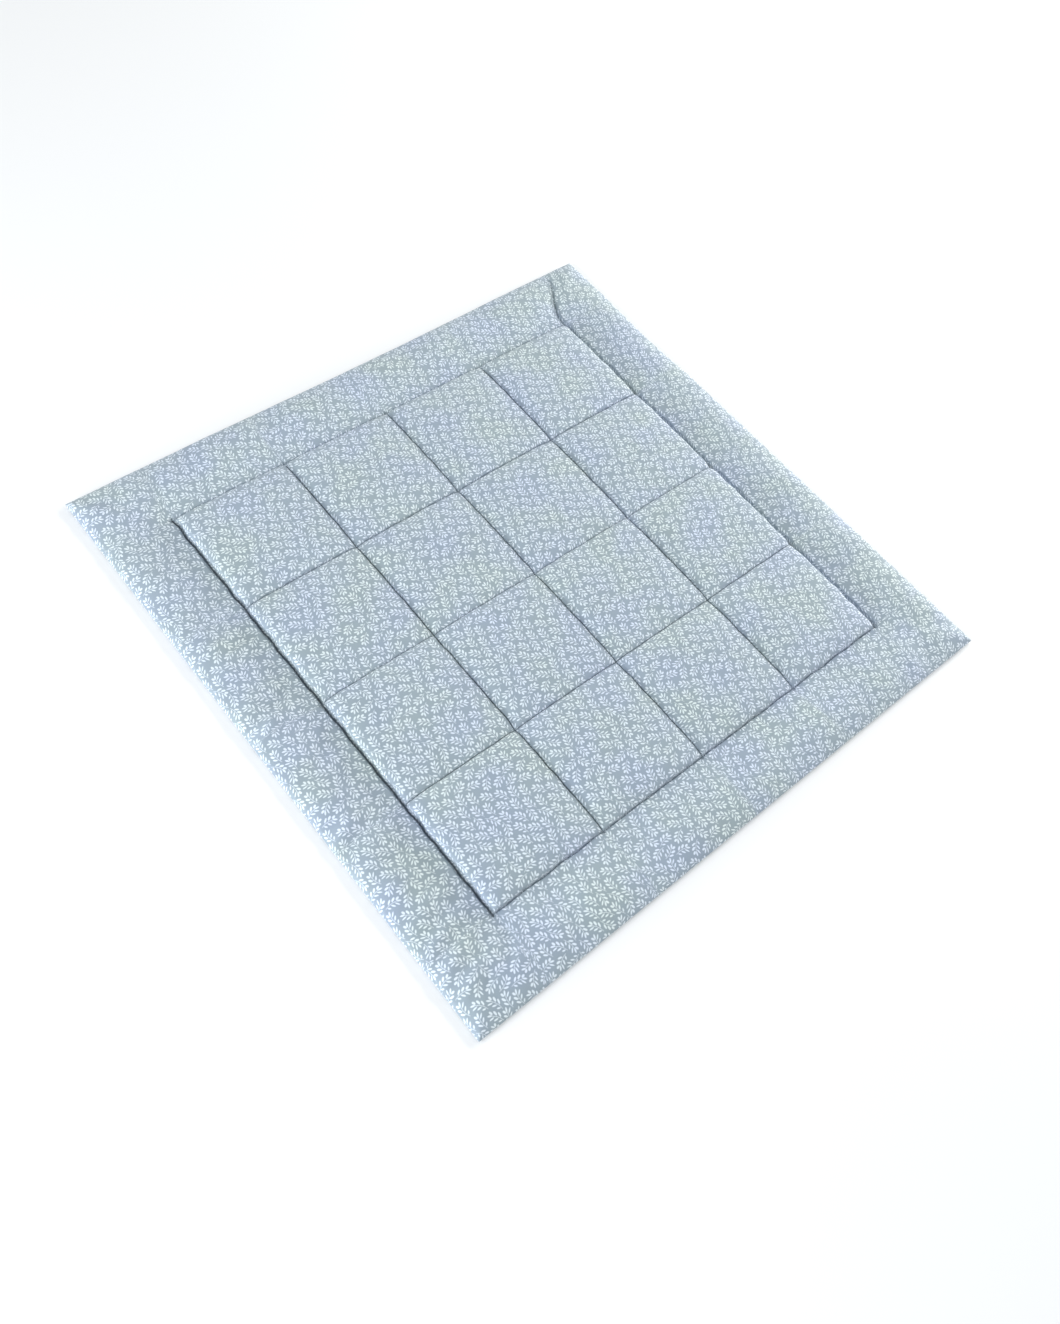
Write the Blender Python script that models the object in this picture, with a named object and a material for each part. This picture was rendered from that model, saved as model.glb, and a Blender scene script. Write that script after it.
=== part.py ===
"""A quilted baby play mat: one padded square of printed cloth, lying flat on a floor.

Units are metres and +Z is up. The origin is the middle of the footprint, at floor level.
A square grid of pillowed panels is sewn inside a frame seam. Outside the seam runs a
flatter padded border that ends in a turned edge. Face, filling and back are sewn into one
piece, so the mat is one solid.
"""
import math

import bmesh
import bpy
from mathutils import Vector
from mathutils.geometry import intersect_point_line

# The quilting's plan
PANEL = 0.194
PANELS = 4
BORDER = 0.112
FRAME = PANEL * PANELS / 2
HALF = FRAME + BORDER

# Heights above the floor
PANEL_CROWN = 0.021
BORDER_CROWN = 0.0175
BORDER_SHOULDER = 0.0088
SEAM_TOP = 0.0065
SEAM_UNDER = 0.003
EDGE_TOP = 0.006
EDGE_UNDER = 0.003

# How quickly the cloth rises from a seam or an edge
PLUMPNESS = 4.6
SHOULDER_REACH = 0.005
CREST_REACH = 0.075
CREST_TIGHTNESS = 7.0
EDGE_REACH = 0.042
EDGE_PLUMPNESS = 2.4
UNDER_REACH = 0.018
UNDER_CURVE = 1.5

# The grid's lines, measured from each seam: close beside it, further apart on the pillows
PANEL_STEPS = (0.0, 0.005, 0.018, 0.048, PANEL / 2)
BORDER_STEPS = (0.005, 0.018, 0.034, 0.051, 0.066, 0.078, 0.090, 0.101, 0.108, BORDER)

# Where the outline's corners lie against the true square.
# Columns: side in X, side in Y, shift in X, shift in Y
CORNER_SHIFTS = (
    (-1, 1, 0.001, -0.002),
    (1, 1, -0.004, 0.005),
    (1, -1, 0.002, 0.000),
    (-1, -1, -0.002, -0.005),
)

# Where an edge is drawn in a little by its sewing.
# Columns: side in X, side in Y, middle along the side, half its length, depth
EDGE_DIPS = (
    (1, 0, 0.28, 0.13, 0.004),
    (0, 1, 0.05, 0.35, 0.003),
)

# A soft fold that runs from the frame's corner towards the outline's corner.
# Columns: outwards in X, outwards in Y, depth
CORNER_FOLD = (
    (0.000, 0.000, 0.004),
    (0.005, 0.024, 0.007),
    (0.018, 0.048, 0.007),
    (0.033, 0.070, 0.006),
    (0.045, 0.088, 0.004),
    (0.044, 0.104, 0.001),
)
FOLD_HALF_WIDTH = 0.017
FOLDED_CORNERS = ((1, 1), (-1, -1))

# The border lies in slow waves, slanted across it on the two sides in X
WAVE_HEIGHT = 0.0012
WAVE_LENGTH = 0.148
WAVE_SLANT = 0.9

CLOTH_COLOUR = (0.42, 0.51, 0.58, 1.0)
CLOTH_ROUGHNESS = 0.9


def bulge(share, plumpness=PLUMPNESS):
    """How far filled cloth has risen: 0 on its seam, 1 at its crown."""
    inside = min(max(share, 0.0), 1.0)
    return (1.0 - (1.0 - inside) ** plumpness) ** (1.0 / plumpness)


def climb(share):
    """A nearly even climb that levels off at its crest: 0 at its foot, 1 from the crest on."""
    inside = min(max(share, 0.0), 1.0)
    return (inside - inside ** CREST_TIGHTNESS / CREST_TIGHTNESS) / (1.0 - 1.0 / CREST_TIGHTNESS)


def hump(share):
    """A smooth bump: 1 in its middle, 0 from one half-width on."""
    return (1.0 - min(abs(share), 1.0) ** 2) ** 2


def seam_distance(place):
    """Distance along one axis to the nearest seam, for a place inside the frame."""
    past_seam = (place + FRAME) % PANEL
    return min(past_seam, PANEL - past_seam)


def frame_distance(x, y):
    """Distance outwards from the frame seam, 0 inside it."""
    return math.hypot(max(abs(x) - FRAME, 0.0), max(abs(y) - FRAME, 0.0))


def edge_distance(x, y):
    """Distance inwards from the outer edge."""
    return HALF - max(abs(x), abs(y))


def fold_depth(x, y):
    """How deep the corner folds press into the border here."""
    deepest = 0.0
    for side_x, side_y in FOLDED_CORNERS:
        place = Vector((x * side_x - FRAME, y * side_y - FRAME, 0.0))
        for start, end in zip(CORNER_FOLD, CORNER_FOLD[1:]):
            start_place = Vector((start[0], start[1], 0.0))
            end_place = Vector((end[0], end[1], 0.0))
            _, along = intersect_point_line(place, start_place, end_place)
            along = min(max(along, 0.0), 1.0)
            away = (place - start_place.lerp(end_place, along)).length
            depth = start[2] + (end[2] - start[2]) * along
            deepest = max(deepest, depth * hump(away / FOLD_HALF_WIDTH))
    return deepest


def border_wave(x, y):
    """Slow rise and fall of the border's crown, slanted on the two sides in X."""
    if abs(x) > abs(y):
        along = y + WAVE_SLANT * x
    else:
        along = x
    return WAVE_HEIGHT * math.sin(2.0 * math.pi * along / WAVE_LENGTH)


def panel_top(x, y):
    """Height of the face over a quilted panel."""
    rise = bulge(seam_distance(x) * 2.0 / PANEL) * bulge(seam_distance(y) * 2.0 / PANEL)
    return SEAM_TOP + (PANEL_CROWN - SEAM_TOP) * rise


def border_top(x, y):
    """Height of the face over the border: a quick shoulder, a slow climb, a rolled edge."""
    out = frame_distance(x, y)
    from_seam = bulge(out / SHOULDER_REACH)
    up_slope = climb(out / CREST_REACH)
    from_edge = bulge(edge_distance(x, y) / EDGE_REACH, EDGE_PLUMPNESS)
    height = SEAM_TOP + (BORDER_SHOULDER - SEAM_TOP) * from_seam
    height += (BORDER_CROWN - BORDER_SHOULDER) * up_slope
    height -= (BORDER_CROWN - EDGE_TOP) * (1.0 - from_edge)
    height += border_wave(x, y) * up_slope * from_edge
    return height - fold_depth(x, y) * from_edge


def top_height(x, y):
    """Height of the mat's face above the floor."""
    if frame_distance(x, y) > 0.0:
        return border_top(x, y)
    return panel_top(x, y)


def lift(distance):
    """How far the back has lifted: 1 on a seam or an edge, 0 from the reach on."""
    return (1.0 - min(max(distance / UNDER_REACH, 0.0), 1.0)) ** UNDER_CURVE


def under_height(x, y):
    """The back lies on the floor, and lifts off it only at the seams and the edge."""
    outside = frame_distance(x, y)
    if outside > 0.0:
        to_seam = outside
    else:
        to_seam = min(seam_distance(x), seam_distance(y))
    return max(SEAM_UNDER * lift(to_seam), EDGE_UNDER * lift(edge_distance(x, y)))


def outline_shift(x, y, width):
    """Shift in the plan: the outline's own unevenness at the edge, none from width inwards."""
    share = max(width - edge_distance(x, y), 0.0) / width
    shift = Vector((0.0, 0.0))
    for side_x, side_y, shift_x, shift_y in CORNER_SHIFTS:
        weight = (0.5 + 0.5 * side_x * x / HALF) * (0.5 + 0.5 * side_y * y / HALF)
        shift += Vector((shift_x, shift_y)) * weight
    for side_x, side_y, middle, reach, depth in EDGE_DIPS:
        outwards = (x * side_x + y * side_y) / HALF
        along = x * abs(side_y) + y * abs(side_x)
        if outwards > 0.0:
            draw = depth * hump((along - middle) / reach) * outwards
            shift -= Vector((side_x, side_y)) * draw
    return shift * share


def section_lines():
    """Places of the grid's lines along one axis, from edge to edge."""
    lines = set()
    for panel in range(PANELS):
        start = panel * PANEL - FRAME
        for step in PANEL_STEPS:
            lines.add(round(start + step, 6))
            lines.add(round(start + PANEL - step, 6))
    for step in BORDER_STEPS:
        lines.add(round(FRAME + step, 6))
        lines.add(round(-FRAME - step, 6))
    return sorted(lines)


def place_on_lines(vertex, lines):
    """Move a vertex of the even grid, which runs from -1 to 1, to its section lines."""
    last = len(lines) - 1
    column = round((vertex.co.x + 1.0) / 2.0 * last)
    row = round((vertex.co.y + 1.0) / 2.0 * last)
    vertex.co = Vector((lines[column], lines[row], 0.0))


def shape_layer(vertices, height, uneven_width):
    """Give one layer of the mat its heights, and its rim the outline's unevenness."""
    for vertex in vertices:
        x, y, _ = vertex.co
        shift = outline_shift(x, y, uneven_width)
        vertex.co = Vector((x + shift.x, y + shift.y, height(x, y)))


def mat_mesh():
    """The mat as one closed mesh: a grid for the back, extruded into the face."""
    lines = section_lines()
    mesh_builder = bmesh.new()
    segments = len(lines) - 1
    bmesh.ops.create_grid(mesh_builder, x_segments=segments, y_segments=segments, size=1.0)
    back = list(mesh_builder.verts)
    for vertex in back:
        place_on_lines(vertex, lines)
    extruded = bmesh.ops.extrude_face_region(
        mesh_builder, geom=list(mesh_builder.faces), use_keep_orig=True)
    face = [item for item in extruded["geom"] if isinstance(item, bmesh.types.BMVert)]
    shape_layer(back, under_height, UNDER_REACH)
    shape_layer(face, top_height, BORDER)
    bmesh.ops.recalc_face_normals(mesh_builder, faces=mesh_builder.faces)
    mesh = bpy.data.meshes.new("quilted_mat")
    mesh_builder.to_mesh(mesh)
    mesh_builder.free()
    mesh.shade_smooth()
    return mesh


def cloth_material():
    """Matt printed cotton, grey-blue with the print's white averaged in."""
    material = bpy.data.materials.new("printed_cotton")
    material.use_nodes = True
    shader = material.node_tree.nodes["Principled BSDF"]
    shader.inputs["Base Color"].default_value = CLOTH_COLOUR
    shader.inputs["Roughness"].default_value = CLOTH_ROUGHNESS
    shader.inputs["Metallic"].default_value = 0.0
    return material


def remove_scene_objects():
    """Start from an empty scene."""
    for item in list(bpy.data.objects):
        bpy.data.objects.remove(item, do_unlink=True)


def build():
    """Make the mat in a collection of its own."""
    remove_scene_objects()
    collection = bpy.data.collections.new("baby_play_mat")
    bpy.context.scene.collection.children.link(collection)
    mat = bpy.data.objects.new("quilted_mat", mat_mesh())
    mat.data.materials.append(cloth_material())
    collection.objects.link(mat)


build()
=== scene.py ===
"""Looks of the quilted baby play mat: its cloth, print, seams and thread, on a pale floor.

Units are metres and +Z is up, in the frame's own axes. The plan repeats the construction's
named sizes. The cloth follows the same solid with a finer surface: its seams are drawn about
4 mm lower and the border's shoulder about 1 mm lower, and its rim slopes off a little sooner.
"""
import math

import bpy
import numpy as np
from mathutils import Matrix, Vector


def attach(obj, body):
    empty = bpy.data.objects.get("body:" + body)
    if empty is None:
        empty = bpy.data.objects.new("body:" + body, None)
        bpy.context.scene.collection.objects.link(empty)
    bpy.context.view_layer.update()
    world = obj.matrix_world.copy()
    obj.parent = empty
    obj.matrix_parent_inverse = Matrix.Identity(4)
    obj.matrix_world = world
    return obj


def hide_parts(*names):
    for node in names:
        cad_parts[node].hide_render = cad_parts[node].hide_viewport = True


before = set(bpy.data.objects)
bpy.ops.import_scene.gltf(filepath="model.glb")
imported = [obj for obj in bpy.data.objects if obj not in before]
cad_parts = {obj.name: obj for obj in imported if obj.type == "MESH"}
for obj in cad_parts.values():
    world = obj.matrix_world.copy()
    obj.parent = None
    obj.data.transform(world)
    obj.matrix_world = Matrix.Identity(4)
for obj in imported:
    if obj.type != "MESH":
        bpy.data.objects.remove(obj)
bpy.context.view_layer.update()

# The quilting's plan, as in the construction
PANEL = 0.194
PANELS = 4
BORDER = 0.112
FRAME = PANEL * PANELS / 2
HALF = FRAME + BORDER

# Heights above the floor
PANEL_CROWN = 0.021
BORDER_CROWN = 0.0175
BORDER_SHOULDER = 0.0076
SEAM_UNDER = 0.0018
EDGE_TOP = 0.006
EDGE_UNDER = 0.003

# How the face rises from a seam, and how the back lifts towards one
PLUMPNESS = 4.6
UNDER_REACH = 0.018
UNDER_CURVE = 1.5

# Where the outline's corners lie against the true square.
# Columns: side in X, side in Y, shift in X, shift in Y
CORNER_SHIFTS = (
    (-1, 1, 0.001, -0.002),
    (1, 1, -0.004, 0.005),
    (1, -1, 0.002, 0.000),
    (-1, -1, -0.002, -0.005),
)

# Where an edge is drawn in a little by its sewing.
# Columns: side in X, side in Y, middle along the side, half its length, depth
EDGE_DIPS = (
    (1, 0, 0.28, 0.13, 0.004),
    (0, 1, 0.05, 0.35, 0.003),
)

# A soft fold that runs from the frame's corner towards the outline's corner, and the share
# of its depth that the cloth keeps. Columns: outwards in X, outwards in Y, depth
CORNER_FOLD = (
    (0.000, 0.000, 0.004),
    (0.005, 0.024, 0.007),
    (0.018, 0.048, 0.007),
    (0.033, 0.070, 0.006),
    (0.045, 0.088, 0.004),
    (0.044, 0.104, 0.001),
)
FOLD_HALF_WIDTH = 0.017
FOLD_SHARE = 0.5
FOLDED_CORNERS = ((1, 1), (-1, -1))

# The crease in a corner's fold. Columns: distance outwards in Y, depth of the crease
CREASE_DEPTHS = (
    (0.000, 0.0060),
    (0.020, 0.0065),
    (0.055, 0.0050),
    (0.085, 0.0035),
    (0.104, 0.0000),
)
CREASE_HALF_WIDTH = 0.0045
CREASE_SPREAD = 0.15
CREASED_CORNERS = ((1, 1),)

# The border lies in slow waves, slanted across it on the two sides in X
WAVE_HEIGHT = 0.0012
WAVE_LENGTH = 0.148
WAVE_SLANT = 0.9

# The two cloths and flattened padding where they are drawn together
LEAST_THICKNESS = 0.0008

# The sewn cloth: how low its seams are drawn, and how wide each seam's slot is on either side
SEAM_DRAWN = 0.0026
SLOTS_ACROSS_X = (0.0030, 0.0012, 0.0011, 0.0013, 0.0042)
SLOTS_ACROSS_Y = (0.0013, 0.0007, 0.0004, 0.0011, 0.0023)

# How far each seam wanders sideways, and how wide the cloth around it goes along
WOBBLE_ACROSS_X = (0.0008, 0.0004, 0.0004, 0.0004, 0.0008)
WOBBLE_ACROSS_Y = (0.0005, 0.0004, 0.0003, 0.0004, 0.0003)
WOBBLE_REACH = 0.03

# Painted shade: how much darker the cloth's colour is made at the bottom of the wider seams across X,
# and how far from them
PAINTED_SHADES_ACROSS_X = (0.85, 0.0, 0.0, 0.0, 0.6)
PAINTED_SHADE_REACH = 0.0024

# The small pit where a quilting seam meets the frame seam
NUB = 0.0022
NUB_REACH = 0.006

# How far the cloth beside a seam bulges over it, and from where to where
OVERHANG = 0.0009
OVERHANG_START = 0.0008
OVERHANG_REACH = 0.009

# The border's section, from the frame seam outwards
SHOULDER_REACH = 0.005
CREST_REACH = 0.075
CREST_TIGHTNESS = 7.0
EDGE_REACH = 0.042
EDGE_PLUMPNESS = 1.8

# Heights of the wrinkles, and how far the puckers stand away from their seam
RIDGE_HEIGHT = 0.0014
SWELL_HEIGHT = 0.0006
PUCKER_HEIGHT = 0.0004
PUCKER_START = 0.002
PUCKER_REACH = 0.016

# Fields of ripples.
# Columns: seed, number of waves, wavelength, heading of the crests, spread of the heading
SWELL = (5, 6, 0.13, 0.4, 1.5)
LEFT_RIDGES = (7, 5, 0.0352, math.radians(24.0), 0.3)
RIGHT_RIDGES = (8, 5, 0.0528, math.radians(-12.0), 0.3)
END_RIDGES = (9, 5, 0.0572, math.radians(70.0), 0.5)
PUCKERS_ALONG_X = (21, 4, 0.013, 0.0, 0.15)
PUCKERS_ALONG_Y = (22, 4, 0.013, math.pi / 2, 0.15)
WANDER_ALONG_Y = (31, 5, 0.05, 0.0, 0.02)
WANDER_ALONG_X = (32, 5, 0.05, math.pi / 2, 0.02)
SHORTEST_WAVE = 0.65
LONGEST_WAVE = 1.5

# The ridges on the two sides in Y are lower, and one kind turns into the other at the corners
END_RIDGE_SHARE = 0.7
CORNER_BLEND = 0.05

# The left border's ridges are fuller around one place: how much, where and how far around it
FULLER_SHARE = 1.3
FULLER_OUT = 0.045
FULLER_ALONG = -0.1
FULLER_REACH_OUT = 0.09
FULLER_REACH_ALONG = 0.45

# A ridge's share of its height at the frame seam, the whole of it being at the border's crest
RIDGE_AT_SEAM = 0.5

# The turned edge: rows from the face down to the back, as a share of its height and a
# distance outwards. The middle row is the groove where the cloths are joined
EDGE_CLOTH = 0.005
EDGE_ROWS = ((0.2, 0.0009), (0.38, 0.0010), (0.5, 0.0003), (0.62, 0.0010), (0.8, 0.0009))

# Third coordinate of the back in the cloth's own plan, the face being at 0
BACK_PLAN = 0.05

# Lengths below this are rounding
ROUNDING = 1e-6

# The fine grid's lines, in millimetres from each seam: over half a panel, and over the border
PANEL_LINES = (0.35, 0.7, 1.1, 1.6, 2.3, 3.2, 4.4, 6.2, 8.6, 12, 16, 21, 28, 37, 48, 60, 72, 84.5, 97)
BORDER_LINES = (0.35, 0.7, 1.1, 1.6, 2.3, 3.2, 4.4, 6.2, 9, 13, 18, 24, 31, 38, 45, 52, 58, 64, 70,
                76, 82, 88, 93, 98, 102, 105.5, 108.5, 110.5, 112)

# The print, in millimetres on the cloth
CELL = 18.2
REPEAT_COLUMNS = 4
REPEAT_ROWS = 8
LATTICE_TURN = math.atan(0.5)
STEM_START = -10.8
STEM_END = 7.6
STEM_HALF_WIDTH = 0.38
STEM_BEND = 1.7
LEAF_PITCH = 5.7
LEAF_TILT = math.radians(52.0)
LEAF_LENGTH = 7.8
LEAF_HALF_WIDTH = 1.5

# A leaf's blade along its length, as shares of it: its middle and half its length
BLADE_MIDDLE = 0.58
BLADE_HALF = 0.38
BLADE_ROUNDNESS = 0.6
STALK_END = 0.4
STALK_HALF_WIDTH = 0.25
FIRST_LEAF = -8.4
LAST_LEAF_NUMBER = 2
TIP_LEAF_START = 4.7

# How softly the print's edges end, in millimetres
STEM_SOFTNESS = 0.2
BLADE_SOFTNESS = 0.25
STALK_SOFTNESS = 0.15

# A leaf's size along the stem, shrinking from the middle, and its fullness on either side
LEAF_SIZE = 1.06
LEAF_SHRINK = -0.0020
LEAF_PLUMP = (0.82, 1.08)
TIP_PLUMP = 0.95

# The repeat's layout. Each sprig may turn, bend to either side and shift a little in its cell,
# and in each round it takes the least crowded of some trials
SPRIG_SHIFT = 3.0
LAYOUT_SEED = 4
LAYOUT_ROUNDS = 16
LAYOUT_TRIALS = 20

# A trial's usual step in the first round, in radians and in millimetres, and the last rounds'
# share of it
TURN_STEP = 1.8
SHIFT_STEP = 1.5
FINEST_STEP = 0.1

# Gaps between sprigs that count as crowded, in millimetres, and how much the wider one counts
NARROW_GAP = 1.0
WIDE_GAP = 3.2
WIDE_SHARE = 0.06

# Discs that stand for a sprig's stem and leaves in the layout
STEM_DISC_PITCH = 2.6
# Columns: place along a leaf, as a share of its length, and share of its half width
LEAF_DISCS = ((0.5, 0.8), (0.67, 1.0), (0.84, 0.8))

# Colours, as linear light
GROUND_COLOUR = (0.308, 0.372, 0.425, 1.0)
LEAF_COLOUR = (0.74, 0.81, 0.86, 1.0)
COOL_TINT = (0.98, 0.98, 1.06, 1.0)
GREEN_TINT = (1.01, 1.02, 0.96, 1.0)
THREAD_COLOUR = (0.11, 0.15, 0.20, 1.0)
THREAD_ROUGHNESS = 0.8
FLOOR_COLOUR = (0.92, 0.92, 0.92, 1.0)
FLOOR_ROUGHNESS = 0.7
LEAF_COVER = 0.93

# Uneven dye: size and detail of its clouds, and its palest and deepest
DYE_SCALE = 14.0
DYE_DETAIL = 3.0
DYE_PALEST = 0.93
DYE_DEEPEST = 1.07

# The drift between the two tints, and the stretch of the noise that it takes
DRIFT_SCALE = 11.0
DRIFT_DETAIL = 2.0
DRIFT_START = 0.35
DRIFT_END = 0.65

# Relief of the cotton: its weave's repeat and its crumple
WEAVE_REPEAT = 0.0009
WEAVE_SHARE = 0.3
CRUMPLE_SCALE = 90.0
CRUMPLE_DETAIL = 4.0
CRUMPLE_SHARE = 4.0
RELIEF_STRENGTH = 0.35
RELIEF_DEPTH = 0.0006
COTTON_ROUGHNESS = 0.88
COTTON_SPECULAR = 0.25
COTTON_SHEEN = 0.18
COTTON_SHEEN_ROUGHNESS = 0.6

# The floor
FLOOR_SIZE = 14.0
FLOOR_LEVEL = -0.0002

# Sewing
STITCH_LENGTH = 0.0032
STITCH_GAP = 0.0007
THREAD_RADIUS = 0.0003
THREAD_SIDES = 5

# A stitch's stations: place along it, as a share of its length, and height in thread radii
STITCH_STATIONS = ((-0.5, -1.3), (-0.36, 0.5), (0.36, 0.5), (0.5, -1.3))

# The camera, in metres and degrees, and its picture, in the photograph's pixels
PICTURE_HEIGHT = 1324
CAMERA_PLACE = (-0.7890, -0.7059, 1.5005)
CAMERA_AZIMUTH = -55.92
CAMERA_ELEVATION = 59.05
CAMERA_ROLL = 17.52
FOCAL_PIXELS = 1175.1
AXIS_RIGHT_PIXELS = 66.8
AXIS_DOWN_PIXELS = 21.1
SENSOR = 36.0

# Rows of soft lights. Columns: name, side in X, distance, height, power, colour
LIGHT_ROWS = (
    ("low_cool", -1, 3.2, 0.38, 92.0, (0.91, 0.95, 1.0)),
    ("low_neutral", 1, 3.2, 0.38, 100.0, (1.0, 0.99, 0.96)),
    ("high_cool", -1, 2.4, 1.5, 40.0, (0.92, 0.96, 1.0)),
    ("high_neutral", 1, 2.4, 1.5, 40.0, (1.0, 1.0, 0.98)),
)
ALONG_ROW = (-0.8, 0.0, 0.8)
LIGHT_RADIUS = 0.2
WORLD_COLOUR = (0.95, 0.98, 1.0, 1.0)
WORLD_STRENGTH = 0.655


# Heights of the cloth

def bulge(share, plumpness=PLUMPNESS):
    """How far filled cloth has risen: 0 on its seam, 1 at its crown."""
    inside = np.clip(share, 0.0, 1.0)
    return (1.0 - (1.0 - inside) ** plumpness) ** (1.0 / plumpness)


def hump(share):
    """A smooth bump: 1 in its middle, 0 from one half-width on."""
    return (1.0 - np.minimum(np.abs(share), 1.0) ** 2) ** 2


def seam_distance(place):
    """Distance along one axis to the nearest seam, for places inside the frame."""
    past_seam = np.mod(place + FRAME, PANEL)
    return np.minimum(past_seam, PANEL - past_seam)


def nearest_seam(place):
    """Number of the nearest seam along one axis, for any place."""
    return np.clip(np.rint((place + FRAME) / PANEL), 0, PANELS).astype(int)


def slot_width(place, slots):
    """Half the width of the nearest seam's slot, for places along one axis."""
    return np.array(slots)[nearest_seam(place)]


def frame_distance(x, y):
    """Distance outwards from the frame seam, 0 inside it."""
    return np.hypot(np.maximum(np.abs(x) - FRAME, 0.0), np.maximum(np.abs(y) - FRAME, 0.0))


def edge_distance(x, y):
    """Distance inwards from the outer edge."""
    return HALF - np.maximum(np.abs(x), np.abs(y))


def ripple_field(x, y, seed, count, wavelength, heading, spread):
    """Smooth uneven ripples between -1 and 1, whose crests run roughly along heading."""
    draw = np.random.default_rng(seed)
    total = np.zeros_like(x)
    for _ in range(count):
        across = heading + math.pi / 2 + draw.uniform(-spread, spread)
        length = wavelength * draw.uniform(SHORTEST_WAVE, LONGEST_WAVE)
        phase = draw.uniform(0.0, 2.0 * math.pi)
        along = x * math.cos(across) + y * math.sin(across)
        total += np.sin(2.0 * math.pi * along / length + phase)
    return total / math.sqrt(count)


def fold_depth(x, y):
    """How deep the corner folds press into the border."""
    deepest = np.zeros_like(x)
    for side_x, side_y in FOLDED_CORNERS:
        out_x = x * side_x - FRAME
        out_y = y * side_y - FRAME
        for start, end in zip(CORNER_FOLD, CORNER_FOLD[1:]):
            run_x = end[0] - start[0]
            run_y = end[1] - start[1]
            along = (out_x - start[0]) * run_x + (out_y - start[1]) * run_y
            along = np.clip(along / (run_x ** 2 + run_y ** 2), 0.0, 1.0)
            away = np.hypot(out_x - start[0] - run_x * along, out_y - start[1] - run_y * along)
            depth = start[2] + (end[2] - start[2]) * along
            deepest = np.maximum(deepest, depth * hump(away / FOLD_HALF_WIDTH))
    return deepest * FOLD_SHARE


def crease_shift(x, y):
    """Shift along X that lays the frame seam's grid column into the crease of a corner."""
    shift = np.zeros_like(x)
    steps = np.array(CORNER_FOLD)
    for side_x, side_y in CREASED_CORNERS:
        out = y * side_y - FRAME
        off = x * side_x - FRAME
        course = np.where(out > 0.0, np.interp(out, steps[:, 1], steps[:, 0]), 0.0)
        spread = np.where(off > 0.0, BORDER, CREASE_SPREAD)
        shift += side_x * course * np.clip(1.0 - np.abs(off) / spread, 0.0, 1.0)
    return shift


def crease_depth(x, y):
    """Depth of the crease in a corner's fold, over the grid before it is laid along it."""
    depth = np.zeros_like(x)
    steps = np.array(CREASE_DEPTHS)
    for side_x, side_y in CREASED_CORNERS:
        out = y * side_y - FRAME
        off = x * side_x - FRAME
        deep = np.where(out > 0.0, np.interp(out, steps[:, 0], steps[:, 1]), 0.0)
        depth += deep * hump(off / CREASE_HALF_WIDTH)
    return depth


def border_wave(x, y):
    """Slow rise and fall of the border's crown, slanted on the two sides in X."""
    along = np.where(np.abs(x) > np.abs(y), y + WAVE_SLANT * x, x)
    return WAVE_HEIGHT * np.sin(2.0 * math.pi * along / WAVE_LENGTH)


def puckers(x, y):
    """Small crests that stand square to the nearest seam and die out away from it."""
    off_x = np.abs(x + FRAME - nearest_seam(x) * PANEL)
    off_y = np.abs(y + FRAME - nearest_seam(y) * PANEL)
    crests_x = ripple_field(x, y, *PUCKERS_ALONG_X)
    crests_y = ripple_field(x, y, *PUCKERS_ALONG_Y)
    beside_x = hump(off_x / PUCKER_REACH) * np.minimum(off_x / PUCKER_START, 1.0)
    beside_y = hump(off_y / PUCKER_REACH) * np.minimum(off_y / PUCKER_START, 1.0)
    beside_x *= hump(np.maximum(np.abs(y) - FRAME, 0.0) / PUCKER_REACH)
    beside_y *= hump(np.maximum(np.abs(x) - FRAME, 0.0) / PUCKER_REACH)
    return PUCKER_HEIGHT * (crests_x * beside_x + crests_y * beside_y)


def panel_top(x, y):
    """Height of the face over a quilted panel."""
    slot_x = slot_width(x, SLOTS_ACROSS_X)
    slot_y = slot_width(y, SLOTS_ACROSS_Y)
    share_x = np.maximum(seam_distance(x) - slot_x, 0.0) * 2.0 / PANEL
    share_y = np.maximum(seam_distance(y) - slot_y, 0.0) * 2.0 / PANEL
    rise = bulge(share_x) * bulge(share_y)
    swell = SWELL_HEIGHT * ripple_field(x, y, *SWELL)
    return SEAM_DRAWN + (PANEL_CROWN - SEAM_DRAWN + swell) * rise + puckers(x, y) * rise


def ridges(x, y):
    """Soft slanted ridges of the border, by side."""
    left = ripple_field(x, y, *LEFT_RIDGES)
    right = ripple_field(x, y, *RIGHT_RIDGES)
    ends = ripple_field(x, y, *END_RIDGES)
    side_x = np.where(x < 0.0, left, right)
    share = np.clip((np.abs(x) - np.abs(y)) / CORNER_BLEND + 0.5, 0.0, 1.0)
    fuller_out = hump((x + FRAME + FULLER_OUT) / FULLER_REACH_OUT)
    fuller_along = hump((y - FULLER_ALONG) / FULLER_REACH_ALONG)
    fuller = 1.0 + FULLER_SHARE * fuller_out * fuller_along
    return RIDGE_HEIGHT * fuller * (side_x * share + END_RIDGE_SHARE * ends * (1.0 - share))


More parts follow.
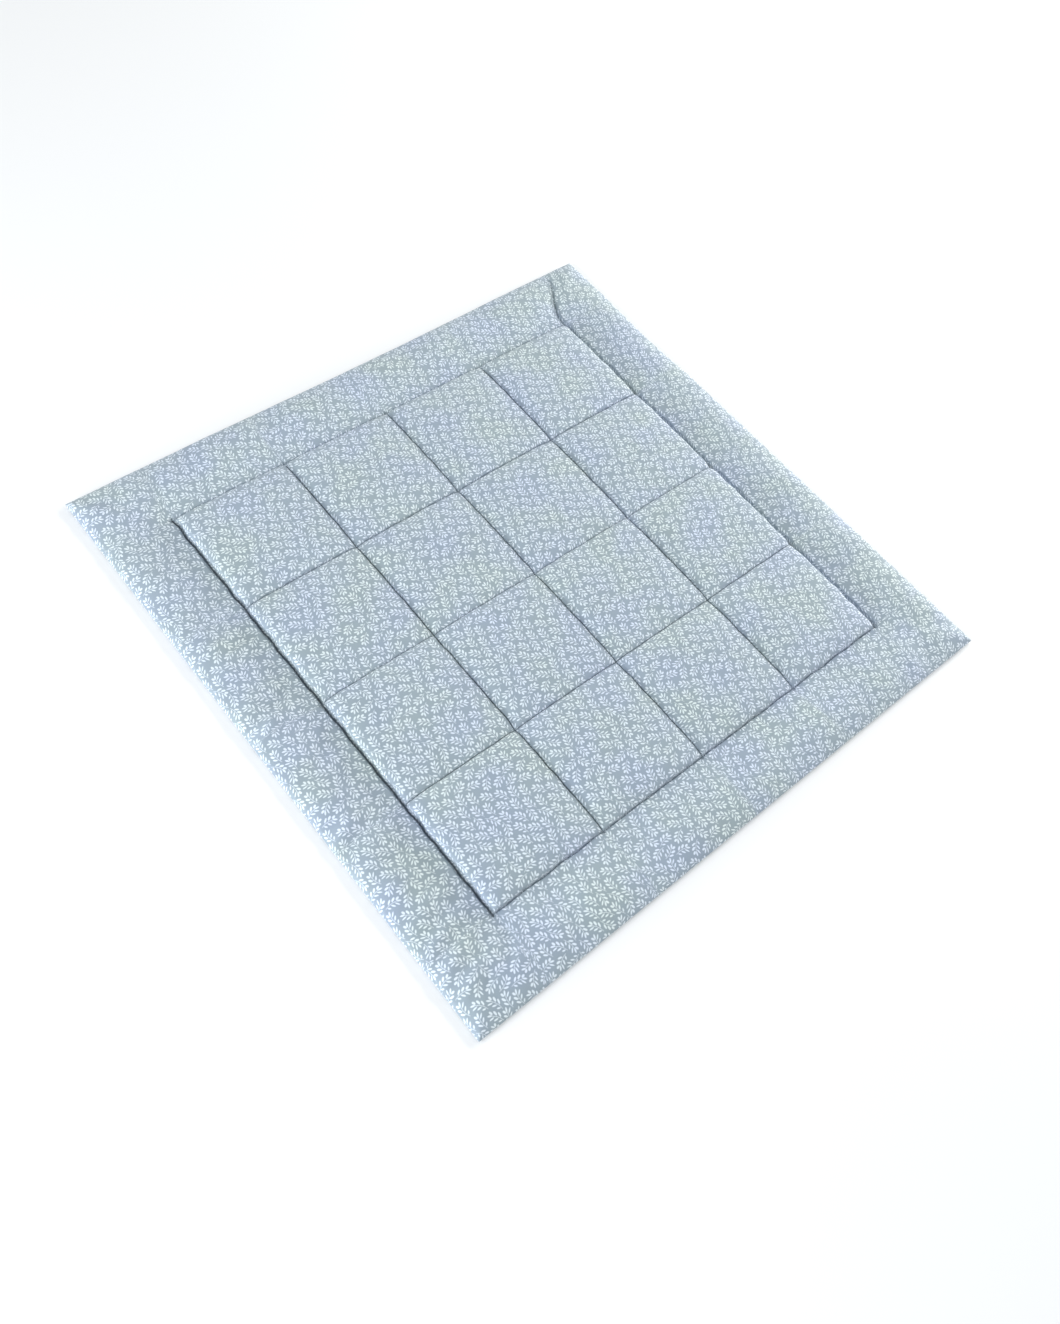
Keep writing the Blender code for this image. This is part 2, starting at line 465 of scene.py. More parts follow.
def border_top(x, y):
    """Height of the face over the border, from the frame seam out to the edge."""
    slot_x = slot_width(x, SLOTS_ACROSS_X)
    slot_y = slot_width(y, SLOTS_ACROSS_Y)
    slot = np.where(np.abs(x) > np.abs(y), slot_x, slot_y)
    along = np.where(np.abs(x) > np.abs(y), y, x)
    slot = slot + NUB * hump(seam_distance(along) / NUB_REACH)
    out = np.maximum(frame_distance(x, y) - slot, 0.0)
    from_seam = bulge(out / SHOULDER_REACH)
    climb = np.minimum(out / CREST_REACH, 1.0)
    climb -= climb ** CREST_TIGHTNESS / CREST_TIGHTNESS
    climb /= 1.0 - 1.0 / CREST_TIGHTNESS
    from_edge = bulge(edge_distance(x, y) / EDGE_REACH, EDGE_PLUMPNESS)
    loose = from_seam * from_edge
    height = SEAM_DRAWN + (BORDER_SHOULDER - SEAM_DRAWN) * from_seam
    height += (BORDER_CROWN - BORDER_SHOULDER) * climb
    height -= (BORDER_CROWN - EDGE_TOP) * (1.0 - from_edge)
    ridge_share = RIDGE_AT_SEAM + (1.0 - RIDGE_AT_SEAM) * climb
    height += (border_wave(x, y) * climb + ridges(x, y) * ridge_share) * loose
    height += puckers(x, y) * loose
    return height - fold_depth(x, y) * from_edge


def top_height(x, y):
    """Height of the mat's face above the floor."""
    inside = frame_distance(x, y) <= ROUNDING
    return np.where(inside, panel_top(x, y), border_top(x, y))


def lift(distance):
    """How far the back has lifted: 1 on a seam or an edge, 0 from the reach on."""
    return (1.0 - np.clip(distance / UNDER_REACH, 0.0, 1.0)) ** UNDER_CURVE


def under_height(x, y):
    """The back lies on the floor, and lifts off it only at the seams and the edge."""
    outside = frame_distance(x, y)
    inner = np.minimum(seam_distance(x), seam_distance(y))
    to_seam = np.where(outside > 0.0, outside, inner)
    return np.maximum(SEAM_UNDER * lift(to_seam), EDGE_UNDER * lift(edge_distance(x, y)))


def outline_shift(x, y):
    """Shift in the plan: none at the frame seam, the outline's own unevenness at the edge."""
    share = np.maximum(np.maximum(np.abs(x), np.abs(y)) - FRAME, 0.0) / BORDER
    shift_x = np.zeros_like(x)
    shift_y = np.zeros_like(y)
    for side_x, side_y, corner_x, corner_y in CORNER_SHIFTS:
        weight = (0.5 + 0.5 * side_x * x / HALF) * (0.5 + 0.5 * side_y * y / HALF)
        shift_x += corner_x * weight
        shift_y += corner_y * weight
    for side_x, side_y, middle, reach, depth in EDGE_DIPS:
        outwards = np.maximum((x * side_x + y * side_y) / HALF, 0.0)
        along = x * abs(side_y) + y * abs(side_x)
        draw = depth * hump((along - middle) / reach) * outwards
        shift_x -= side_x * draw
        shift_y -= side_y * draw
    return shift_x * share, shift_y * share


def seam_wobble(x, y):
    """Sideways wander of the seams, none away from them."""
    seam_x = nearest_seam(x)
    seam_y = nearest_seam(y)
    off_x = x + FRAME - seam_x * PANEL
    off_y = y + FRAME - seam_y * PANEL
    wander_x = ripple_field(seam_x * 1.0, y, *WANDER_ALONG_Y)
    wander_y = ripple_field(x, seam_y * 1.0, *WANDER_ALONG_X)
    within_x = np.clip((FRAME + WOBBLE_REACH - np.abs(y)) / WOBBLE_REACH, 0.0, 1.0)
    within_y = np.clip((FRAME + WOBBLE_REACH - np.abs(x)) / WOBBLE_REACH, 0.0, 1.0)
    shift_x = np.array(WOBBLE_ACROSS_X)[seam_x] * wander_x * hump(off_x / WOBBLE_REACH) * within_x
    shift_y = np.array(WOBBLE_ACROSS_Y)[seam_y] * wander_y * hump(off_y / WOBBLE_REACH) * within_y
    return shift_x, shift_y


def painted_seam_shade(x, y):
    """Painted shade: how much darker the face's colour is made in a seam's slot, and nothing away
    from it.
    """
    off = x + FRAME - nearest_seam(x) * PANEL
    deepest = np.array(PAINTED_SHADES_ACROSS_X)[nearest_seam(x)]
    return deepest * hump(off / PAINTED_SHADE_REACH) * (np.abs(y) < FRAME + PAINTED_SHADE_REACH)


def overhang(place, width):
    """Shift towards the nearest seam, where the filled cloth bulges over it."""
    off = place + FRAME - nearest_seam(place) * PANEL
    past = np.abs(off) - width
    rise = np.clip(past / OVERHANG_START, 0.0, 1.0)
    fall = np.clip(1.0 - (past - OVERHANG_START) / OVERHANG_REACH, 0.0, 1.0) ** 2
    return -np.sign(off) * OVERHANG * rise * fall


def placed(x, y):
    """Where a point of the flat plan lies on the sewn mat, seen from above."""
    edge_x, edge_y = outline_shift(x, y)
    seam_x, seam_y = seam_wobble(x, y)
    over_x = overhang(x, slot_width(x, SLOTS_ACROSS_X)) * (np.abs(y) < FRAME)
    over_y = overhang(y, slot_width(y, SLOTS_ACROSS_Y)) * (np.abs(x) < FRAME)
    return x + edge_x + seam_x + over_x, y + edge_y + seam_y + over_y


# The cloth's mesh

def grid_lines():
    """Places of the fine grid's lines along one axis, crowded at each seam and at the edge."""
    half_panel = np.array(PANEL_LINES) / 1000.0
    across = np.array(BORDER_LINES) / 1000.0
    lines = []
    for seam in range(PANELS + 1):
        place = seam * PANEL - FRAME
        lines.append(place)
        if seam < PANELS:
            lines.extend(place + half_panel)
        if seam > 0:
            lines.extend(place - half_panel[:-1])
    lines.extend(FRAME + across)
    lines.extend(-FRAME - across)
    return np.unique(np.round(np.array(lines), 6))


def ring_of(count):
    """Vertex numbers around the rim of a square grid of count by count points."""
    first = list(range(0, count))
    right = [row * count + count - 1 for row in range(1, count)]
    last = [(count - 1) * count + column for column in range(count - 2, -1, -1)]
    left = [row * count for row in range(count - 2, 0, -1)]
    return np.array(first + right + last + left)


def cloth_run(lines, heights):
    """Length of cloth from the middle line to each line, over one section's rise and fall."""
    steps = np.hypot(np.diff(lines), np.diff(heights))
    run = np.concatenate([[0.0], np.cumsum(steps)])
    return run - run[len(lines) // 2]


def edge_rows(rim, face, back, face_plan, back_plan, plan_x, plan_y):
    """Points of the turned edge's rows, from the face down to the back, and their plan."""
    out_x = np.where(np.abs(plan_x[rim]) > HALF - ROUNDING, np.sign(plan_x[rim]), 0.0)
    out_y = np.where(np.abs(plan_y[rim]) > HALF - ROUNDING, np.sign(plan_y[rim]), 0.0)
    outwards = np.column_stack([out_x, out_y, np.zeros(len(rim))])
    rows = []
    plans = []
    for share, distance in EDGE_ROWS:
        level = face[rim] * (1.0 - share) + back[rim] * share
        rows.append(level + outwards * distance)
        nearer_plan = face_plan if share <= 0.5 else back_plan
        plans.append(nearer_plan[rim] + outwards * min(share, 1.0 - share) * EDGE_CLOTH)
    return rows, plans


def cloth_quads(count, rim, row_count):
    """Corner numbers of the cloth's quads: the face, the back and the bands of its edge."""
    row_cells, column_cells = np.meshgrid(np.arange(count - 1), np.arange(count - 1), indexing="ij")
    corner = (row_cells * count + column_cells).ravel()
    face_quads = np.column_stack([corner, corner + 1, corner + count + 1, corner + count])
    back_quads = face_quads[:, ::-1] + count * count
    bands = [rim]
    for number in range(row_count):
        bands.append(2 * count * count + number * len(rim) + np.arange(len(rim)))
    bands.append(rim + count * count)
    quads = [face_quads, back_quads]
    for upper, lower in zip(bands, bands[1:]):
        quads.append(np.column_stack([upper, lower, np.roll(lower, -1), np.roll(upper, -1)]))
    return np.concatenate(quads)


def cloth_object():
    """The mat's cloth as one closed mesh: face, back and the turned edge between them."""
    lines = grid_lines()
    count = len(lines)
    grid_x, plan_y = np.meshgrid(lines, lines)
    grid_x = grid_x.ravel()
    plan_y = plan_y.ravel()
    plan_x = grid_x + crease_shift(grid_x, plan_y)
    at_x, at_y = placed(plan_x, plan_y)
    level = under_height(plan_x, plan_y)
    height = top_height(plan_x, plan_y) - crease_depth(grid_x, plan_y)
    height = np.maximum(height, level + LEAST_THICKNESS)
    face = np.column_stack([at_x, at_y, height])
    back = np.column_stack([at_x, at_y, level])
    middle = int(np.argmin(np.abs(lines - PANEL / 2)))
    sections = height.reshape(count, count)
    run_x = np.tile(cloth_run(lines, sections[middle]), count) + plan_x - grid_x
    run_y = np.repeat(cloth_run(lines, sections[:, middle]), count)
    face_plan = np.column_stack([run_x, run_y, np.zeros(count * count)])
    back_plan = np.column_stack([plan_x, plan_y, np.full(count * count, BACK_PLAN)])
    rim = ring_of(count)
    rows, row_plans = edge_rows(rim, face, back, face_plan, back_plan, plan_x, plan_y)
    points = np.concatenate([face, back] + rows)
    mesh = bpy.data.meshes.new("quilted_cloth")
    mesh.from_pydata(points.tolist(), [], cloth_quads(count, rim, len(rows)).tolist())
    mesh.shade_smooth()
    cloth = bpy.data.objects.new("quilted_cloth", mesh)
    bpy.context.scene.collection.objects.link(cloth)
    plan = np.concatenate([face_plan, back_plan] + row_plans)
    layer = mesh.attributes.new("cloth_plan", "FLOAT_VECTOR", "POINT")
    layer.data.foreach_set("vector", plan.ravel())
    # Painted shade in the seam slots, kept on the face's points for the material
    painted_shade = np.zeros(len(points))
    painted_shade[:count * count] = painted_seam_shade(plan_x, plan_y)
    layer = mesh.attributes.new("painted_seam_shade", "FLOAT", "POINT")
    layer.data.foreach_set("value", painted_shade)
    return cloth


# Sewing

def seam_lines():
    """Ends of each seam in the plan: start, end."""
    lines = []
    for seam in range(PANELS + 1):
        place = seam * PANEL - FRAME
        lines.append(((place, -FRAME), (place, FRAME)))
        lines.append(((-FRAME, place), (FRAME, place)))
    return lines


def stitch_centres():
    """Plan places and headings of every stitch of the quilting."""
    places = []
    headings = []
    for start, end in seam_lines():
        start = np.array(start)
        end = np.array(end)
        length = float(np.hypot(*(end - start)))
        count = int(length / (STITCH_LENGTH + STITCH_GAP))
        shares = (np.arange(count) + 0.5) / count
        places.append(start + (end - start) * shares[:, None])
        headings.append(np.repeat([(end - start) / length], count, axis=0))
    return np.concatenate(places), np.concatenate(headings)


def thread_tubes(places, headings, level, side):
    """Vertices and quads of one short bent tube for each stitch, on the face or the back."""
    count = len(places)
    across = np.column_stack([-headings[:, 1], headings[:, 0]])
    rings = []
    for share, rise in STITCH_STATIONS:
        for number in range(THREAD_SIDES):
            angle = 2.0 * math.pi * number / THREAD_SIDES
            plan = places + headings * share * STITCH_LENGTH
            at_x, at_y = placed(plan[:, 0], plan[:, 1])
            sideways = across * math.cos(angle) * THREAD_RADIUS
            height = level + side * (rise + math.sin(angle)) * THREAD_RADIUS
            rings.append(np.column_stack([at_x + sideways[:, 0], at_y + sideways[:, 1], height]))
    points = np.stack(rings, axis=1).reshape(-1, 3)
    quads = []
    for station in range(len(STITCH_STATIONS) - 1):
        for number in range(THREAD_SIDES):
            after = (number + 1) % THREAD_SIDES
            low = station * THREAD_SIDES
            high = low + THREAD_SIDES
            quad = [low + number, low + after, high + after, high + number]
            quads.append(quad if side > 0 else quad[::-1])
    first = np.arange(count)[:, None, None] * len(STITCH_STATIONS) * THREAD_SIDES
    return points, (first + np.array(quads)[None]).reshape(-1, 4)


def stitches_object():
    """The quilting thread, on the face and on the back, as one mesh."""
    places, headings = stitch_centres()
    level_face = top_height(places[:, 0], places[:, 1])
    level_back = under_height(places[:, 0], places[:, 1])
    face_points, face_quads = thread_tubes(places, headings, level_face, 1)
    back_points, back_quads = thread_tubes(places, headings, level_back, -1)
    quads = np.concatenate([face_quads, back_quads + len(face_points)])
    mesh = bpy.data.meshes.new("quilting_thread")
    mesh.from_pydata(np.concatenate([face_points, back_points]).tolist(), [], quads.tolist())
    mesh.shade_smooth()
    thread = bpy.data.objects.new("quilting_thread", mesh)
    bpy.context.scene.collection.objects.link(thread)
    return thread


# The print's layout

def stem_bend(along):
    """Sideways bend of a sprig's stem, in millimetres."""
    share = 2.0 * along / (STEM_END - STEM_START)
    return STEM_BEND * (share ** 2 - 1.0 / 3.0)


def sprig_discs(side):
    """A sprig as discs on its stem and leaves: place along it, place across it, radius."""
    discs = []
    for along in np.arange(STEM_START, STEM_END, STEM_DISC_PITCH):
        discs.append((along, 0.0, STEM_HALF_WIDTH))
    for upper, plump in enumerate(LEAF_PLUMP):
        for number in range(LAST_LEAF_NUMBER + 1):
            seat = FIRST_LEAF + (number + upper / 2) * LEAF_PITCH
            size = LEAF_SIZE + LEAF_SHRINK * seat ** 2
            for share, width in LEAF_DISCS:
                reach = share * size * LEAF_LENGTH * math.sin(LEAF_TILT)
                along = seat + reach / math.tan(LEAF_TILT)
                across = reach if upper else -reach
                discs.append((along, across, width * plump * size * LEAF_HALF_WIDTH))
    for share, width in LEAF_DISCS:
        along = TIP_LEAF_START + share * LEAF_LENGTH
        discs.append((along, 0.0, width * TIP_PLUMP * LEAF_HALF_WIDTH))
    discs = np.array(discs)
    discs[:, 1] = side * (discs[:, 1] - stem_bend(discs[:, 0]))
    return discs


def placed_discs(shapes, cell, turns, shifts, sides):
    """Middles of a sprig's discs in the repeat, for each of some turns, shifts and sides."""
    local = shapes[(sides > 0).astype(int)]
    cosine = np.cos(turns)[:, None]
    sine = np.sin(turns)[:, None]
    middle = np.array([cell % REPEAT_COLUMNS, cell // REPEAT_COLUMNS]) * CELL + shifts
    place_x = middle[:, :1] + local[:, :, 0] * cosine + local[:, :, 1] * sine
    place_y = middle[:, 1:] - local[:, :, 0] * sine + local[:, :, 1] * cosine
    return np.stack([place_x, place_y], axis=-1)


def crowding(trials, others, radii, other_radii):
    """How much each trial's discs crowd the other sprigs' discs, over the repeat's joins too."""
    repeat = np.array([REPEAT_COLUMNS, REPEAT_ROWS]) * CELL
    apart = trials[:, :, None, :] - others[None, None]
    apart -= repeat * np.rint(apart / repeat)
    clear = np.hypot(apart[..., 0], apart[..., 1]) - radii[None, :, None] - other_radii
    narrow = np.maximum(NARROW_GAP - clear, 0.0) ** 2
    wide = np.maximum(WIDE_GAP - clear, 0.0) ** 2
    return (narrow + WIDE_SHARE * wide).sum(axis=(1, 2))


def settled_sprigs():
    """The repeat's sprigs, cell by cell: turn in radians, shift in X and in Y, side of the bend."""
    draw = np.random.default_rng(LAYOUT_SEED)
    cells = REPEAT_COLUMNS * REPEAT_ROWS
    shapes = np.stack([sprig_discs(-1), sprig_discs(1)])
    radii = shapes[0, :, 2]
    other_radii = np.tile(radii, cells - 1)
    turns = draw.uniform(0.0, 2.0 * math.pi, cells)
    shifts = draw.uniform(-1.0, 1.0, (cells, 2))
    sides = draw.choice([-1, 1], cells)
    discs = np.zeros((cells, len(radii), 2))
    for cell in range(cells):
        own = slice(cell, cell + 1)
        discs[cell] = placed_discs(shapes, cell, turns[own], shifts[own], sides[own])[0]
    for number in range(LAYOUT_ROUNDS):
        step = max(1.0 - number / LAYOUT_ROUNDS, FINEST_STEP)
        for cell in range(cells):
            try_turns = turns[cell] + draw.normal(0.0, TURN_STEP * step, LAYOUT_TRIALS)
            try_shifts = shifts[cell] + draw.normal(0.0, SHIFT_STEP * step, (LAYOUT_TRIALS, 2))
            try_sides = sides[cell] * draw.choice([-1, 1], LAYOUT_TRIALS)
            try_turns[0] = turns[cell]
            try_shifts[0] = shifts[cell]
            try_sides[0] = sides[cell]
            try_shifts = np.clip(try_shifts, -SPRIG_SHIFT, SPRIG_SHIFT)
            trials = placed_discs(shapes, cell, try_turns, try_shifts, try_sides)
            others = np.delete(discs, cell, axis=0).reshape(-1, 2)
            best = int(np.argmin(crowding(trials, others, radii, other_radii)))
            turns[cell] = try_turns[best]
            shifts[cell] = try_shifts[best]
            sides[cell] = try_sides[best]
            discs[cell] = trials[best]
    return [(turns[cell], *shifts[cell], sides[cell]) for cell in range(cells)]


# Node material helpers

class Tree:
    """Short ways to add nodes to a tree and link them."""

    def __init__(self, tree):
        self.tree = tree

    def add(self, kind, **settings):
        node = self.tree.nodes.new(kind)
        for name, value in settings.items():
            setattr(node, name, value)
        return node

    def put(self, socket, value):
        if isinstance(value, bpy.types.NodeSocket):
            self.tree.links.new(value, socket)
        elif value is not None:
            socket.default_value = value

    def math(self, operation, first, second=None, third=None, clamp=False):
        node = self.add("ShaderNodeMath", operation=operation, use_clamp=clamp)
        for socket, value in zip(node.inputs, (first, second, third)):
            self.put(socket, value)
        return node.outputs[0]

    def vector(self, operation, first, second=None, third=None):
        node = self.add("ShaderNodeVectorMath", operation=operation)
        for socket, value in zip(node.inputs, (first, second, third)):
            self.put(socket, value)
        return node.outputs[0]

    def split(self, vector):
        node = self.add("ShaderNodeSeparateXYZ")
        self.put(node.inputs[0], vector)
        return node.outputs[0], node.outputs[1], node.outputs[2]

    def noise(self, place, scale, detail):
        node = self.add("ShaderNodeTexNoise", noise_dimensions="3D")
        self.put(node.inputs["Vector"], place)
        node.inputs["Scale"].default_value = scale
        node.inputs["Detail"].default_value = detail
        return node.outputs["Fac"]

    def colours(self, blend, share, first, second):
        node = self.add("ShaderNodeMix", data_type="RGBA", blend_type=blend)
        self.put(node.inputs["Factor"], share)
        self.put(node.inputs["A"], first)
        self.put(node.inputs["B"], second)
        return node.outputs["Result"]

    def below(self, value, limit, soft):
        """1 well below the limit, 0 above it, with a soft step between."""
        rise = self.math("SUBTRACT", limit, value)
        return self.math("DIVIDE", rise, soft, clamp=True)


def fill_chart(ramp, sprigs):
    """Put the repeat's sprigs into a stepped ramp, each value between 0 and 1."""
    ramp.interpolation = "CONSTANT"
    for number, (turn, shift_x, shift_y, side) in enumerate(sprigs):
        if number > 1:
            ramp.elements.new(number / len(sprigs))
        step = ramp.elements[number]
        step.position = number / len(sprigs)
        place = [0.5 + 0.5 * shift / SPRIG_SHIFT for shift in (shift_x, shift_y)]
        step.color = (turn / (2.0 * math.pi) % 1.0, place[0], place[1], 0.5 + 0.5 * side)


def sprig_group():
    """One leaf sprig of the print: 1 on its stem and leaves, 0 on the ground."""
    group = bpy.data.node_groups.new("leaf_sprig", "ShaderNodeTree")
    group.interface.new_socket("Place", in_out="INPUT", socket_type="NodeSocketVector")
    group.interface.new_socket("Cell", in_out="INPUT", socket_type="NodeSocketVector")
    group.interface.new_socket("Ink", in_out="OUTPUT", socket_type="NodeSocketFloat")
    tree = Tree(group)
    inputs = tree.add("NodeGroupInput")
    outputs = tree.add("NodeGroupOutput")
    place = inputs.outputs["Place"]
    cell = tree.vector("ADD", tree.vector("FLOOR", place), inputs.outputs["Cell"])

    # Each cell of the repeat has its own turn, small shift and bend
    cell_x, cell_y, _ = tree.split(cell)
    column = tree.math("FLOORED_MODULO", cell_x, REPEAT_COLUMNS)
    row = tree.math("FLOORED_MODULO", cell_y, REPEAT_ROWS)
    number = tree.math("MULTIPLY_ADD", row, REPEAT_COLUMNS, column)
    chart = tree.add("ShaderNodeValToRGB")
    cells = REPEAT_COLUMNS * REPEAT_ROWS
    tree.put(chart.inputs[0], tree.math("DIVIDE", tree.math("ADD", number, 0.5), cells))
    fill_chart(chart.color_ramp, settled_sprigs())
    turn, shift_x, shift_y = tree.split(chart.outputs["Color"])
    nudge = tree.add("ShaderNodeCombineXYZ")
    widest = SPRIG_SHIFT / CELL
    tree.put(nudge.inputs[0], tree.math("MULTIPLY_ADD", shift_x, 2.0 * widest, -widest))
    tree.put(nudge.inputs[1], tree.math("MULTIPLY_ADD", shift_y, 2.0 * widest, -widest))
    local = tree.vector("SUBTRACT", tree.vector("SUBTRACT", place, cell), nudge.outputs[0])
    rotate = tree.add("ShaderNodeVectorRotate", rotation_type="Z_AXIS")
    tree.put(rotate.inputs["Vector"], tree.vector("MULTIPLY", local, (CELL, CELL, 0.0)))
    tree.put(rotate.inputs["Angle"], tree.math("MULTIPLY", turn, 2.0 * math.pi))
    along, across, _ = tree.split(rotate.outputs[0])

    # The stem bends to one side or the other
    side = tree.math("MULTIPLY_ADD", chart.outputs["Alpha"], 2.0, -1.0)
    share = tree.math("MULTIPLY", along, 2.0 / (STEM_END - STEM_START))
    bend = tree.math("MULTIPLY_ADD", tree.math("MULTIPLY", share, share), STEM_BEND, -STEM_BEND / 3)
    off = tree.math("MULTIPLY_ADD", across, side, bend)
    reach = tree.math("ABSOLUTE", off)

    # Leaves leave the stem at a tilt, by turns on either side, the middle ones longest
    upper = tree.math("GREATER_THAN", off, 0.0)
    foot = tree.math("MULTIPLY_ADD", reach, -1.0 / math.tan(LEAF_TILT), along)
    start = tree.math("MULTIPLY_ADD", upper, LEAF_PITCH / 2, FIRST_LEAF)
    number = tree.math("ROUND", tree.math("DIVIDE", tree.math("SUBTRACT", foot, start), LEAF_PITCH))
    number = tree.math("MINIMUM", tree.math("MAXIMUM", number, 0.0), float(LAST_LEAF_NUMBER))
    seat = tree.math("MULTIPLY_ADD", number, LEAF_PITCH, start)
    aside = tree.math("ABSOLUTE", tree.math("SUBTRACT", foot, seat))
    aside = tree.math("MULTIPLY", aside, math.sin(LEAF_TILT))
    size = tree.math("MULTIPLY_ADD", tree.math("MULTIPLY", seat, seat), LEAF_SHRINK, LEAF_SIZE)
    out = tree.math("DIVIDE", reach, math.sin(LEAF_TILT) * LEAF_LENGTH)
    out = tree.math("DIVIDE", out, size)
    plump = tree.math("MULTIPLY_ADD", upper, LEAF_PLUMP[1] - LEAF_PLUMP[0], LEAF_PLUMP[0])
    leaf = leaf_ink(tree, out, aside, tree.math("MULTIPLY", plump, size))

    # One more leaf ends the stem
    tip = tree.math("MULTIPLY_ADD", along, 1.0 / LEAF_LENGTH, -TIP_LEAF_START / LEAF_LENGTH)
    tip_leaf = leaf_ink(tree, tip, reach, TIP_PLUMP)

    stem = tree.below(reach, STEM_HALF_WIDTH, STEM_SOFTNESS)
    stem = tree.math("MULTIPLY", stem, tree.math("LESS_THAN", along, STEM_END))
    stem = tree.math("MULTIPLY", stem, tree.math("GREATER_THAN", along, STEM_START))
    ink = tree.math("MAXIMUM", tree.math("MAXIMUM", leaf, tip_leaf), stem)
    tree.put(outputs.inputs["Ink"], ink)
    return group


def leaf_ink(tree, out, aside, plump):
    """Ink of one leaf: a thin stalk, then a long blade that is widest past the leaf's middle."""
    swell = tree.math("MULTIPLY_ADD", out, 1.0 / BLADE_HALF, -BLADE_MIDDLE / BLADE_HALF)
    swell = tree.math("SUBTRACT", 1.0, tree.math("MULTIPLY", swell, swell))
    swell = tree.math("POWER", tree.math("MAXIMUM", swell, 0.0), BLADE_ROUNDNESS)
    width = tree.math("MULTIPLY", tree.math("MULTIPLY", swell, plump), LEAF_HALF_WIDTH)
    blade = tree.below(aside, width, BLADE_SOFTNESS)
    stalk = tree.below(aside, STALK_HALF_WIDTH, STALK_SOFTNESS)
    stalk = tree.math("MULTIPLY", stalk, tree.math("LESS_THAN", out, STALK_END))
    stalk = tree.math("MULTIPLY", stalk, tree.math("GREATER_THAN", out, 0.0))
    return tree.math("MAXIMUM", blade, stalk)


def print_group():
    """The printed repeat: 1 on leaves, 0 on the ground, from a place on the cloth."""
    sprig = sprig_group()
    group = bpy.data.node_groups.new("leaf_print", "ShaderNodeTree")
    group.interface.new_socket("Cloth", in_out="INPUT", socket_type="NodeSocketVector")
    group.interface.new_socket("Ink", in_out="OUTPUT", socket_type="NodeSocketFloat")
    tree = Tree(group)
    inputs = tree.add("NodeGroupInput")
    outputs = tree.add("NodeGroupOutput")
    turned = tree.add("ShaderNodeVectorRotate", rotation_type="Z_AXIS")
    tree.put(turned.inputs["Vector"], inputs.outputs[0])
    turned.inputs["Angle"].default_value = LATTICE_TURN
    place = tree.vector("MULTIPLY", turned.outputs[0], (1000.0 / CELL, 1000.0 / CELL, 0.0))

    ink = None
    for step_x in (0.0, 1.0):
        for step_y in (0.0, 1.0):
            sprig_node = tree.add("ShaderNodeGroup", node_tree=sprig)
            tree.put(sprig_node.inputs["Place"], place)
            tree.put(sprig_node.inputs["Cell"], (step_x, step_y, 0.0))
            found = sprig_node.outputs["Ink"]
            ink = found if ink is None else tree.math("MAXIMUM", ink, found)
    tree.put(outputs.inputs["Ink"], ink)
    return group


def cotton_colour(tree, plan):
    """Colour of the printed cotton, from a place on the cloth."""
    print_node = tree.add("ShaderNodeGroup", node_tree=print_group())
    tree.put(print_node.inputs["Cloth"], plan)

    # Uneven dye under the printed leaves
    dye = tree.add("ShaderNodeMapRange")
    tree.put(dye.inputs["Value"], tree.noise(plan, DYE_SCALE, DYE_DETAIL))
    dye.inputs["To Min"].default_value = DYE_PALEST
    dye.inputs["To Max"].default_value = DYE_DEEPEST
    ground = tree.colours("MULTIPLY", 1.0, GROUND_COLOUR, dye.outputs["Result"])
    cover = tree.math("MULTIPLY", print_node.outputs["Ink"], LEAF_COVER)
    printed = tree.colours("MIX", cover, ground, LEAF_COLOUR)

    # A faint drift between a cooler and a greener blue
    drift = tree.add("ShaderNodeMapRange")
    tree.put(drift.inputs["Value"], tree.noise(plan, DRIFT_SCALE, DRIFT_DETAIL))
    drift.inputs["From Min"].default_value = DRIFT_START
    drift.inputs["From Max"].default_value = DRIFT_END
    tint = tree.colours("MIX", drift.outputs["Result"], COOL_TINT, GREEN_TINT)
    tinted = tree.colours("MULTIPLY", 1.0, printed, tint)

    # Painted shade: the colour is darkened at the bottom of a wide seam, where the cloth lies in its
    # own shade
    painted_shade = tree.add("ShaderNodeAttribute", attribute_name="painted_seam_shade").outputs["Fac"]
    return tree.colours("MULTIPLY", 1.0, tinted, tree.math("SUBTRACT", 1.0, painted_shade))


def cotton_relief(tree, plan):
    """Plain weave and a fine crumple, as a bumped normal."""
    plan_x, plan_y, _ = tree.split(plan)
    warp = tree.math("SINE", tree.math("MULTIPLY", plan_x, 2.0 * math.pi / WEAVE_REPEAT))
    weft = tree.math("SINE", tree.math("MULTIPLY", plan_y, 2.0 * math.pi / WEAVE_REPEAT))
    weave = tree.math("MULTIPLY", tree.math("MULTIPLY", warp, weft), WEAVE_SHARE)
    crumple = tree.noise(plan, CRUMPLE_SCALE, CRUMPLE_DETAIL)
    bump = tree.add("ShaderNodeBump")
    bump.inputs["Strength"].default_value = RELIEF_STRENGTH
    bump.inputs["Distance"].default_value = RELIEF_DEPTH
    tree.put(bump.inputs["Height"], tree.math("MULTIPLY_ADD", crumple, CRUMPLE_SHARE, weave))
    return bump.outputs["Normal"]


def cotton_material():
    """Printed cotton: ground and leaves, plain weave, a little crumple and a soft sheen."""
    material = bpy.data.materials.new("printed_cotton")
    material.use_nodes = True
    tree = Tree(material.node_tree)
    shader = material.node_tree.nodes["Principled BSDF"]
    plan = tree.add("ShaderNodeAttribute", attribute_name="cloth_plan").outputs["Vector"]
    tree.put(shader.inputs["Base Color"], cotton_colour(tree, plan))
    tree.put(shader.inputs["Normal"], cotton_relief(tree, plan))
    shader.inputs["Roughness"].default_value = COTTON_ROUGHNESS
    shader.inputs["Specular IOR Level"].default_value = COTTON_SPECULAR
    shader.inputs["Sheen Weight"].default_value = COTTON_SHEEN
    shader.inputs["Sheen Roughness"].default_value = COTTON_SHEEN_ROUGHNESS
    return material


# The scene round the mat

def plain_material(name, colour, roughness):
    """A plain matt material."""
    material = bpy.data.materials.new(name)
    material.use_nodes = True
    shader = material.node_tree.nodes["Principled BSDF"]
    shader.inputs["Base Color"].default_value = colour
    shader.inputs["Roughness"].default_value = roughness
    return material


